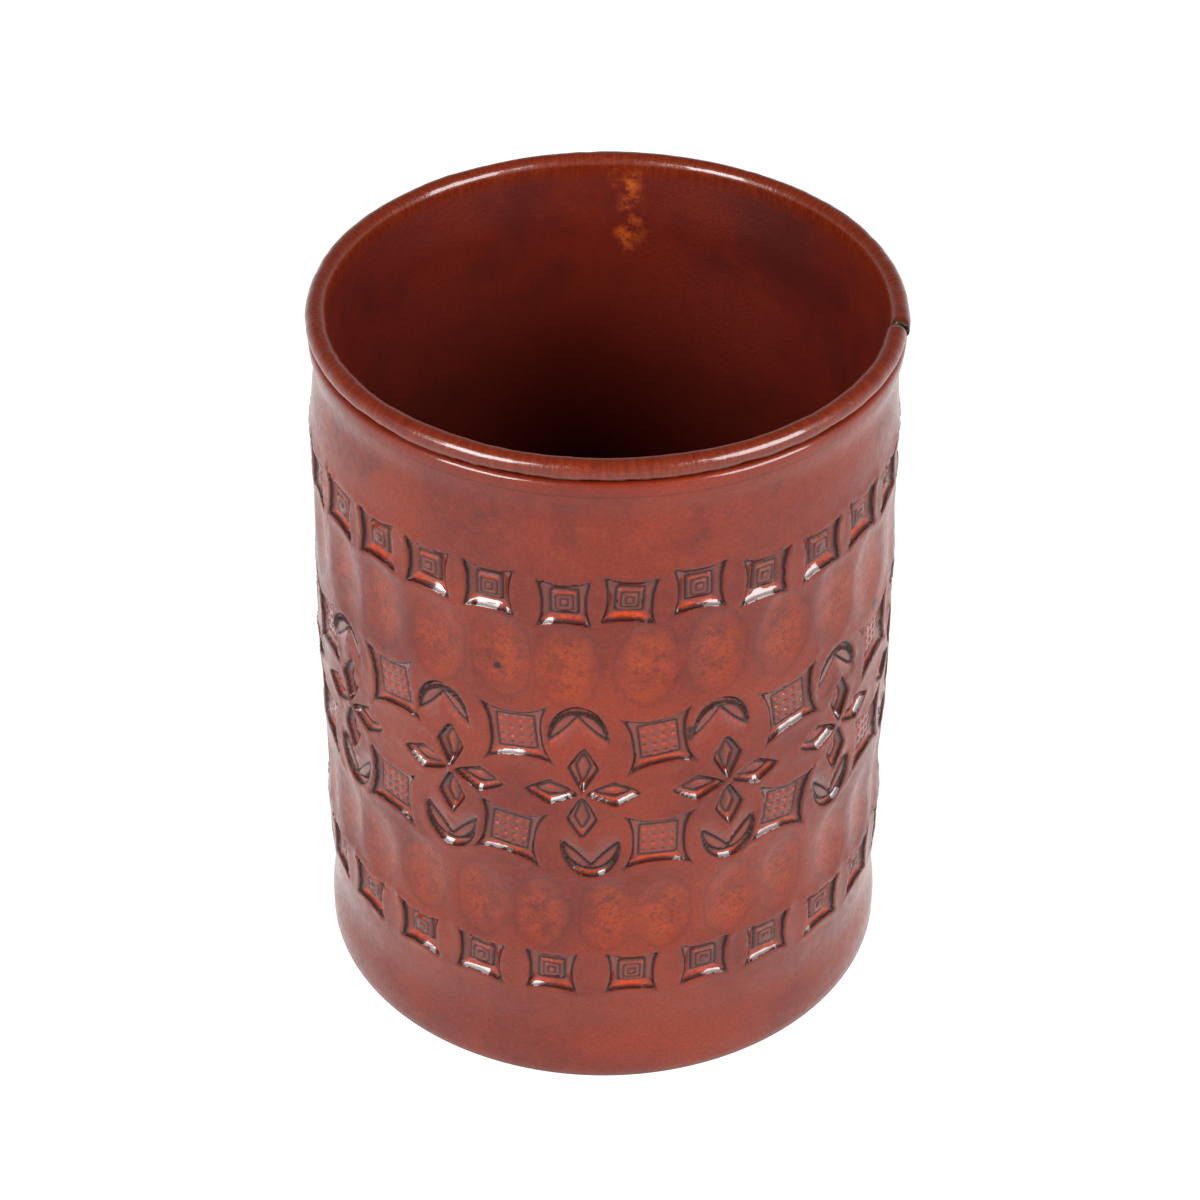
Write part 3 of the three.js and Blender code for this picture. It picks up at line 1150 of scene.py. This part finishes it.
@dataclass(frozen=True)
class TooledLeather(Finish):
    """Vegetable-tanned cowhide, spirit-dyed red-brown and lacquered.

    The eye sees a thin clear lacquer with sharp glints over a soft sheen, painted light on the dies'
    up-facing bevels and painted shade on their down-facing ones, dark wax in the grooves that is partly
    painted crevice shade, and a fine grain with small creases.
    """

    body: str = "#561506"
    pale: str = "#662010"
    orange: str = "#6C2005"
    glow: str = "#842E06"
    # Painted light: bright orange laid on the dies' up-facing bevels.
    painted_light_orange: str = "#962E04"
    # Dark dye of the fibres, dish flecks and smudges, also used as painted shade on down-facing bevels and
    # dish rims.
    dark_dye_and_painted_shade: str = "#300A08"
    # Near-black: dark wax, also painted crevice shade in the dies' grooves; it also colours the specks and
    # the line below the lip.
    dark_wax_and_painted_shade: str = "#180503"

    def material(self) -> bpy.types.Material:
        """Makes the material."""
        material, tree, place = self.start("Tooled leather")
        pressed, dished = (
            add_node(tree, "ShaderNodeAttribute", attribute_name=name).outputs["Fac"]
            for name in ("pressed", "dished")
        )
        links = {"Vector": place, "Scale": 1 / 0.42, "Detail": 4.0, "Roughness": 0.7}
        grain = add_node(tree, "ShaderNodeTexNoise", links).outputs["Fac"]
        links = {"Vector": place, "Scale": 1 / 0.35}
        pores = add_node(tree, "ShaderNodeTexVoronoi", links).outputs["Distance"]
        mottle = self.blotches(tree, place, 1.7, 0.36, 0.68, Detail=5.0, Roughness=0.7)
        deep = self.within(tree, 1.0, pressed, 0.03, 0.3)
        lines, cut = self.scored(tree)
        layers = self.dye_layers(tree, place, mottle, dished)
        # Painted light on up-facing bevels and painted shade on down-facing ones, chosen by the surface's own
        # normal.
        layers += self.painted_light_and_shade_layers(tree, mottle, deep)
        # Dark fibres break up the dye everywhere, also over the painted light and shade in the dies.
        layers.append((self.within(tree, 1.0, grain, 0.34, 0.66), 0.34, self.dark_dye_and_painted_shade))
        layers += self.wear_and_lip_layers(tree, place)
        # Dark wax and painted crevice shade along the dies' grooves.
        layers.append((lines, 1.0, self.dark_wax_and_painted_shade))
        colour = self.dyed(tree, self.body, layers)
        height = self.embossed(
            tree, [(cut, 1.0), (grain, 0.07), (pores, 0.02), (self.hatch(tree, dished), 1.0)]
        )
        worn = self.blotches(tree, place, 1.3, 0.3, 0.7, Detail=4.0)
        rough = add_node(tree, "ShaderNodeMath", {0: worn, 1: 0.18, 2: 0.32}, operation="MULTIPLY_ADD")
        self.close(
            tree, height, Base_Color=colour, Roughness=rough.outputs[0], Specular_IOR_Level=0.13,
            Coat_Weight=self.lacquer(tree, deep, lines), Coat_Roughness=0.1,
        )
        return material

    def dye_layers(self, tree: Tree, place: Socket, mottle: Socket, dished: Socket) -> Layers:
        """Uneven dye: wide orange clouds, a pale mottle, dishes with a warm orange, flecked middle, and
        painted shade round each dish's rim.

        Args:
            tree: The material's node tree.
            place: Coordinates in millimetres.
            mottle: The hide's own mottle.
            dished: How far a place is down in a dish.

        Returns:
            The layers, first one lowest.
        """
        clouds = self.blotches(tree, place, 15.0, 0.36, 0.66, Detail=4.0)
        patches = self.blotches(tree, place, 3.2, 0.36, 0.6, Detail=4.0, Roughness=0.65)
        flecks = self.blotches(tree, place, 0.7, 0.5, 0.62, Detail=5.0, Roughness=0.75)
        return [
            (clouds, 1.0, self.orange),
            (mottle, 0.6, self.pale),
            (self.within(tree, patches, dished, 0.1, 0.9), 0.6, self.glow),
            (self.within(tree, flecks, dished, 0.35, 0.85), 0.5, self.dark_dye_and_painted_shade),
            # Painted shade: a thin dark line round each dish's rim.
            (self.line(tree, dished, 0.14, 0.14), 0.22, self.dark_dye_and_painted_shade),
        ]

    def painted_light_and_shade_layers(self, tree: Tree, mottle: Socket, deep: Socket) -> Layers:
        """Painted light and shade in the dies: orange on up-facing bevels, dark purplish on down-facing ones.

        Args:
            tree: The material's node tree.
            mottle: The hide's own mottle, which keeps the painted light from looking flat.
            deep: 1 where a die has gone in deep.

        Returns:
            The layers, first one lowest.
        """
        facing = add_node(tree, "ShaderNodeTexCoord").outputs["Normal"]
        upward = add_node(tree, "ShaderNodeSeparateXYZ", {0: facing}).outputs["Z"]
        span = {"Value": mottle, "To Min": 1.0, "To Max": 0.35}
        broken = add_node(tree, "ShaderNodeMapRange", span, interpolation_type="SMOOTHSTEP").outputs[0]
        # Painted light: up-facing bevels turn bright orange; down-facing ones get painted shade below.
        painted_light_mask = self.within(tree, deep, upward, 0.1, 0.5)
        painted_light_mask = add_node(tree, "ShaderNodeMath", {0: painted_light_mask, 1: broken}, operation="MULTIPLY").outputs[0]
        return [(painted_light_mask, 1.0, self.painted_light_orange), (self.within(tree, deep, upward, -0.1, -0.5), 0.8, self.dark_dye_and_painted_shade)]

    def wear_and_lip_layers(self, tree: Tree, place: Socket) -> Layers:
        """Smudges under the rim and a few dark specks from handling, and a fine dark line below the lip.

        Args:
            tree: The material's node tree.
            place: Coordinates in millimetres.

        Returns:
            The layers, first one lowest.
        """
        high = add_node(tree, "ShaderNodeSeparateXYZ", {0: place}).outputs["Z"]
        smudges = self.blotches(tree, place, 5.0, 0.5, 0.7, Detail=4.0, Roughness=0.6)
        band = self.line(tree, high, 90.5, 5.0)
        smudges = add_node(tree, "ShaderNodeMath", {0: smudges, 1: band}, operation="MULTIPLY").outputs[0]
        cells = add_node(tree, "ShaderNodeTexVoronoi", {"Vector": place, "Scale": 1 / 16}).outputs["Distance"]
        lip = add_node(tree, "ShaderNodeAttribute", attribute_name="lip").outputs["Fac"]
        return [
            (smudges, 0.55, self.dark_dye_and_painted_shade),
            (self.within(tree, 1.0, cells, 0.05, 0.025), 1.0, self.dark_wax_and_painted_shade),
            (lip, 0.3, self.body),
            # A fine dark line just below the lip.
            (self.line(tree, lip, 0.12, 0.14), 0.35, self.dark_wax_and_painted_shade),
        ]

    def scored(self, tree: Tree) -> tuple[Socket, Socket]:
        """Lines that the dies' edges cut into the leather, filled with dark wax that is also painted crevice
        shade.

        Args:
            tree: The material's node tree.

        Returns:
            Share of dark wax and painted crevice shade, and the relief in millimetres.
        """
        outline, inner, rings = (
            add_node(tree, "ShaderNodeAttribute", attribute_name=name).outputs["Fac"]
            for name in ("outline", "inner", "rings")
        )
        inside = self.within(tree, 1.0, outline, 0.05, -0.1)
        foot = self.line(tree, inner, 0.0, 0.36)
        foot = add_node(tree, "ShaderNodeMath", {0: foot, 1: inside}, operation="MULTIPLY").outputs[0]
        grooves = [(self.line(tree, outline, -0.12, 0.4), 0.95, 0.0), (foot, 0.85, -0.1)]
        grooves += [(self.line(tree, rings, radius, 0.32), 0.8, -0.1) for radius in (1.1, 0.5)]
        # Dark wax and painted crevice shade, strongest on each groove.
        dark_wax_and_painted_shade = 0.0
        for groove, share, _ in grooves:
            filled = add_node(tree, "ShaderNodeMath", {0: groove, 1: share}, operation="MULTIPLY").outputs[0]
            dark_wax_and_painted_shade = add_node(tree, "ShaderNodeMath", {0: dark_wax_and_painted_shade, 1: filled}, operation="MAXIMUM").outputs[0]
        cuts = [(groove, depth) for groove, _, depth in grooves if depth]
        return dark_wax_and_painted_shade, self.embossed(tree, [(inside, -0.13), *cuts])

    def hatch(self, tree: Tree, dished: Socket) -> Socket:
        """Fine crossed lines that the shading tool leaves in a dish, in millimetres."""
        flat = add_node(tree, "ShaderNodeUVMap", uv_map="flat").outputs[0]
        lines = []
        for turn in (38, -34):
            links = {"Vector": flat, "Rotation": (0, 0, math.radians(turn))}
            turned = add_node(tree, "ShaderNodeMapping", links).outputs[0]
            wave = add_node(tree, "ShaderNodeTexWave", {"Vector": turned, "Scale": 0.62, "Distortion": 1.2})
            lines.append((wave.outputs["Fac"], 0.018))
        return self.within(tree, self.embossed(tree, lines), dished, 0.15, 0.7)

    def lacquer(self, tree: Tree, deep: Socket, lines: Socket) -> Socket:
        """Weight of the lacquer: it pools in the dies and is thin over the waxed lines, which dims their
        reflections as painted shade.
        """
        links = {0: deep, 1: 0.4, 2: 0.52}
        pooled = add_node(tree, "ShaderNodeMath", links, operation="MULTIPLY_ADD").outputs[0]
        span = {"Value": lines, "From Min": 0.5, "From Max": 1.0, "To Min": 1.0, "To Max": 0.3}
        thin = add_node(tree, "ShaderNodeMapRange", span, interpolation_type="SMOOTHSTEP").outputs[0]
        return add_node(tree, "ShaderNodeMath", {0: pooled, 1: thin}, operation="MULTIPLY").outputs[0]


@dataclass(frozen=True)
class LiningLeather(Finish):
    """Thin dyed lining: a burnished red-brown bead, a matt blotched inside and an olive, fibrous cut edge.

    The eye sees fine puckers across a glossy bead, warm orange where the dye is thin, dark stains and a
    paler drip inside, and loose fibres where the edge is cut.
    """

    bead: str = "#521606"
    bead_pale: str = "#60200A"
    inside: str = "#480E05"
    warm: str = "#501204"
    blotch: str = "#340A06"
    drip: str = "#84380F"
    fibre: str = "#1E160C"
    fibre_pale: str = "#4A3820"

    def material(self) -> bpy.types.Material:
        """Makes the material."""
        material, tree, place = self.start("Lining leather")
        bead, cut, joint = (
            add_node(tree, "ShaderNodeAttribute", attribute_name=name).outputs["Fac"]
            for name in ("bead", "cut", "joint")
        )
        links = {"Vector": place, "Scale": 1 / 0.5, "Detail": 4.0, "Roughness": 0.6}
        grain = add_node(tree, "ShaderNodeTexNoise", links).outputs["Fac"]
        ribs = self.ribs(tree)
        crests = self.within(tree, 1.0, ribs, 0.35, 0.7)
        rubbed = self.dyed(tree, self.bead, [(crests, 1.0, self.bead_pale)])
        fuzz = self.within(tree, 1.0, grain, 0.4, 0.6)
        frayed = self.dyed(tree, self.fibre, [(fuzz, 1.0, self.fibre_pale)])
        ends = add_node(tree, "ShaderNodeMath", {0: joint, 1: bead}, operation="MULTIPLY").outputs[0]
        colour = self.dyed(tree, self.inside, [
            (self.blotches(tree, place, 19.0, 0.42, 0.62, Detail=3.0, Roughness=0.5), 0.7, self.warm),
            (self.blotches(tree, place, 14.0, 0.46, 0.72, Detail=5.0, Roughness=0.55), 0.75, self.blotch),
            (self.stain(tree, place), 1.0, self.drip),
            (bead, 1.0, rubbed),
            (self.within(tree, 1.0, grain, 0.4, 0.66), 0.35, self.blotch),
            (self.within(tree, 1.0, cut, 0.25, 0.6), 1.0, frayed),
            (ends, 1.0, self.fibre),
        ])
        raised = add_node(tree, "ShaderNodeMath", {0: ribs, 1: bead}, operation="MULTIPLY").outputs[0]
        height = self.embossed(tree, [(grain, 0.06), (raised, 0.05)])
        span = {"Value": bead, "To Min": 0.5, "To Max": 0.3}
        rough = add_node(tree, "ShaderNodeMapRange", span, interpolation_type="SMOOTHSTEP").outputs[0]
        self.close(
            tree, height, Base_Color=colour, Roughness=rough, Specular_IOR_Level=0.2,
            Coat_Weight=self.polish(tree, bead, cut), Coat_Roughness=0.12,
        )
        return material

    def polish(self, tree: Tree, bead: Socket, cut: Socket) -> Socket:
        """Weight of the polish: most on the bead, little inside and none on the cut edge."""
        span = {"Value": cut, "From Min": 0.1, "From Max": 0.5, "To Min": 0.5, "To Max": 0.0}
        whole = add_node(tree, "ShaderNodeMapRange", span, interpolation_type="SMOOTHSTEP").outputs[0]
        span = {"Value": bead, "To Min": 0.2, "To Max": 1.0}
        rubbed = add_node(tree, "ShaderNodeMapRange", span, interpolation_type="SMOOTHSTEP").outputs[0]
        return add_node(tree, "ShaderNodeMath", {0: whole, 1: rubbed}, operation="MULTIPLY").outputs[0]

    def ribs(self, tree: Tree) -> Socket:
        """Fine puckers that run across the bead, 0.5 mm apart."""
        flat = add_node(tree, "ShaderNodeUVMap", uv_map="flat").outputs[0]
        drawn = add_node(tree, "ShaderNodeMapping", {"Vector": flat, "Scale": (1.0, 0.12, 1.0)}).outputs[0]
        links = {"Vector": drawn, "Scale": 1 / 0.5, "Detail": 3.0, "Roughness": 0.6}
        return add_node(tree, "ShaderNodeTexNoise", links).outputs["Fac"]

    def stain(self, tree: Tree, place: Socket) -> Socket:
        """Drip of thin dye, 4 mm wide, down from the rim inside the back wall."""
        parts = add_node(tree, "ShaderNodeSeparateXYZ", {0: place}).outputs
        links = {"Vector": place, "Scale": 1 / 3.0, "Detail": 3.0}
        wander = add_node(tree, "ShaderNodeTexNoise", links).outputs["Fac"]
        links = {0: wander, 1: 6.0, 2: parts["X"]}
        across = add_node(tree, "ShaderNodeMath", links, operation="MULTIPLY_ADD").outputs[0]
        drip = self.within(tree, self.line(tree, across, 6.6, 2.6), parts["Z"], 84.0, 88.0)
        drip = self.within(tree, drip, parts["Y"], 20.0, 26.0)
        broken = self.blotches(tree, place, 2.2, 0.4, 0.6, Detail=5.0, Roughness=0.7)
        return add_node(tree, "ShaderNodeMath", {0: drip, 1: broken}, operation="MULTIPLY").outputs[0]


@dataclass(frozen=True)
class PlainFinish(Finish):
    """A matt material of two mixed colours over a fibrous grain."""

    name: str
    first: str
    second: str
    pitch: float
    relief: float
    roughness: float

    def material(self) -> bpy.types.Material:
        """Makes the material."""
        material, tree, place = self.start(self.name)
        patches = self.blotches(tree, place, self.pitch, 0.35, 0.68, Detail=5.0, Roughness=0.6)
        colour = self.dyed(tree, self.first, [(patches, 1.0, self.second)])
        links = {"Vector": place, "Scale": 8 / self.pitch, "Detail": 4.0, "Roughness": 0.65}
        grain = add_node(tree, "ShaderNodeTexNoise", links).outputs["Fac"]
        height = self.embossed(tree, [(grain, self.relief)])
        self.close(tree, height, Base_Color=colour, Roughness=self.roughness)
        return material


FLOOR_LEATHER = PlainFinish("Floor leather", "#54302A", "#382420", 7.0, 0.08, 0.55)
COTTON_CORD = PlainFinish("Cotton cord", "#B79C6C", "#8D7348", 0.9, 0.05, 0.6)
PULPBOARD = PlainFinish("Pulpboard", "#8E7A60", "#6E5C46", 1.6, 0.05, 0.85)
SOLE_LEATHER = PlainFinish("Sole leather", "#7A3A22", "#4E2114", 6.0, 0.07, 0.5)


@dataclass(frozen=True)
class LightTable(Finish):
    """Opal acrylic lit from below, which leaves no shadow round what stands on it."""

    opal: str = "#4A4A4A"
    light: str = "#FFFFFF"
    glow: float = 1.02

    def material(self) -> bpy.types.Material:
        """Makes the material."""
        material, tree, place = self.start("Opal acrylic")
        frosting = self.blotches(tree, place, 80.0, 0.0, 1.0)
        self.close(
            tree, self.embossed(tree, [(frosting, 0.0)]), Base_Color=linear(self.opal), Roughness=0.6,
            Specular_IOR_Level=0.1, Emission_Color=linear(self.light), Emission_Strength=self.glow,
        )
        return material


# ------------------------------------------------------------------------------------------------ the studio


@dataclass
class Softbox:
    """Square lamp behind white cloth, aimed at the cup."""

    name: str
    azimuth: float
    elevation: float
    size: float
    watts: float
    distance: float = 0.9

    def place(self) -> None:
        """Adds the lamp."""
        lamp = bpy.data.lights.new(self.name, "AREA")
        lamp.shape = "SQUARE"
        lamp.size = self.size
        lamp.energy = self.watts
        holder = bpy.data.objects.new(self.name, lamp)
        bpy.context.scene.collection.objects.link(holder)
        turn, rise = math.radians(self.azimuth), math.radians(self.elevation)
        aim = Vector((math.cos(rise) * math.cos(turn), math.cos(rise) * math.sin(turn), math.sin(rise)))
        holder.location = aim * self.distance + Vector((0, 0, 0.05))
        holder.rotation_euler = aim.to_track_quat("Z", "Y").to_euler()


@dataclass
class Studio:
    """White table, two softboxes in front and a white surround that dims overhead."""

    camera_elevation: float = 37.21
    camera_distance: float = 0.4442
    target: tuple[float, float, float] = (-0.00046, 0.0, 0.05166)
    lens: float = 98.39

    def build(self) -> None:
        """Sets the table, the lights and the camera."""
        self.table()
        Softbox("SoftboxLeft", -137, 31, 0.42, 15.0).place()
        Softbox("SoftboxRight", -32, 29, 0.5, 15.0).place()
        self.surround()
        self.camera()
        bpy.context.scene.view_settings.view_transform = "Standard"

    def table(self) -> None:
        """Lays the pale floor."""
        start_clean()
        bpy.ops.mesh.primitive_plane_add(size=6)
        floor = bpy.context.object
        floor.name = "Table"
        floor.data.materials.append(LightTable().material())

    def surround(self) -> None:
        """Lights the scene from a white room: bright at the horizon, dim overhead."""
        world = bpy.data.worlds.new("Surround")
        bpy.context.scene.world = world
        world.use_nodes = True
        tree = world.node_tree
        tree.nodes.clear()
        looked = add_node(tree, "ShaderNodeTexCoord").outputs["Generated"]
        rise = add_node(tree, "ShaderNodeSeparateXYZ", {0: looked}).outputs["Z"]
        links = {"Value": rise, "From Min": 0.05, "From Max": 0.6, "To Min": 0.7, "To Max": 0.12}
        level = add_node(tree, "ShaderNodeMapRange", links, interpolation_type="SMOOTHSTEP").outputs[0]
        sky = add_node(tree, "ShaderNodeBackground", {"Color": linear("#FFFFFF"), "Strength": level})
        add_node(tree, "ShaderNodeOutputWorld", {"Surface": sky.outputs[0]})

    def camera(self) -> None:
        """Looks down at the cup's front."""
        lens = bpy.data.cameras.new("Camera")
        lens.lens = self.lens
        lens.sensor_width = 36
        lens.clip_start = 0.01
        holder = bpy.data.objects.new("Camera", lens)
        bpy.context.scene.collection.objects.link(holder)
        rise = math.radians(self.camera_elevation)
        away = Vector((0, -math.cos(rise), math.sin(rise))) * self.camera_distance
        holder.location = Vector(self.target) + away
        holder.rotation_euler = away.to_track_quat("Z", "Y").to_euler()
        bpy.context.scene.camera = holder


# ------------------------------------------------------------------------------------------------------ main


def main() -> None:
    """Builds the cup from its sleeve to its sole, then the studio."""
    logging.basicConfig(level=logging.INFO, format="%(name)s: %(message)s")
    wall = Wall()
    sleeve = OuterSleeve(wall)
    sleeve.dress(sleeve.build(), TooledLeather().material())
    lining = Lining(wall)
    lining.dress(lining.build(), LiningLeather().material())
    cord = RimCord(wall)
    cord.dress(cord.build(), COTTON_CORD.material())
    rounds = (
        (Disc("FloorDisc", "floor_disc", Slot.FLOOR, waves=0.25, seed=51), FLOOR_LEATHER),
        (Disc("BaseBoard", "base_board", Slot.BOARD, edge_round=0.15, seed=52), PULPBOARD),
        (Disc("SoleDisc", "sole_disc", Slot.SOLE, edge_round=0.4, seed=53), SOLE_LEATHER),
    )
    for disc, finish in rounds:
        disc.dress(disc.build(), finish.material())
    Studio().build()


if __name__ == "__main__":
    main()
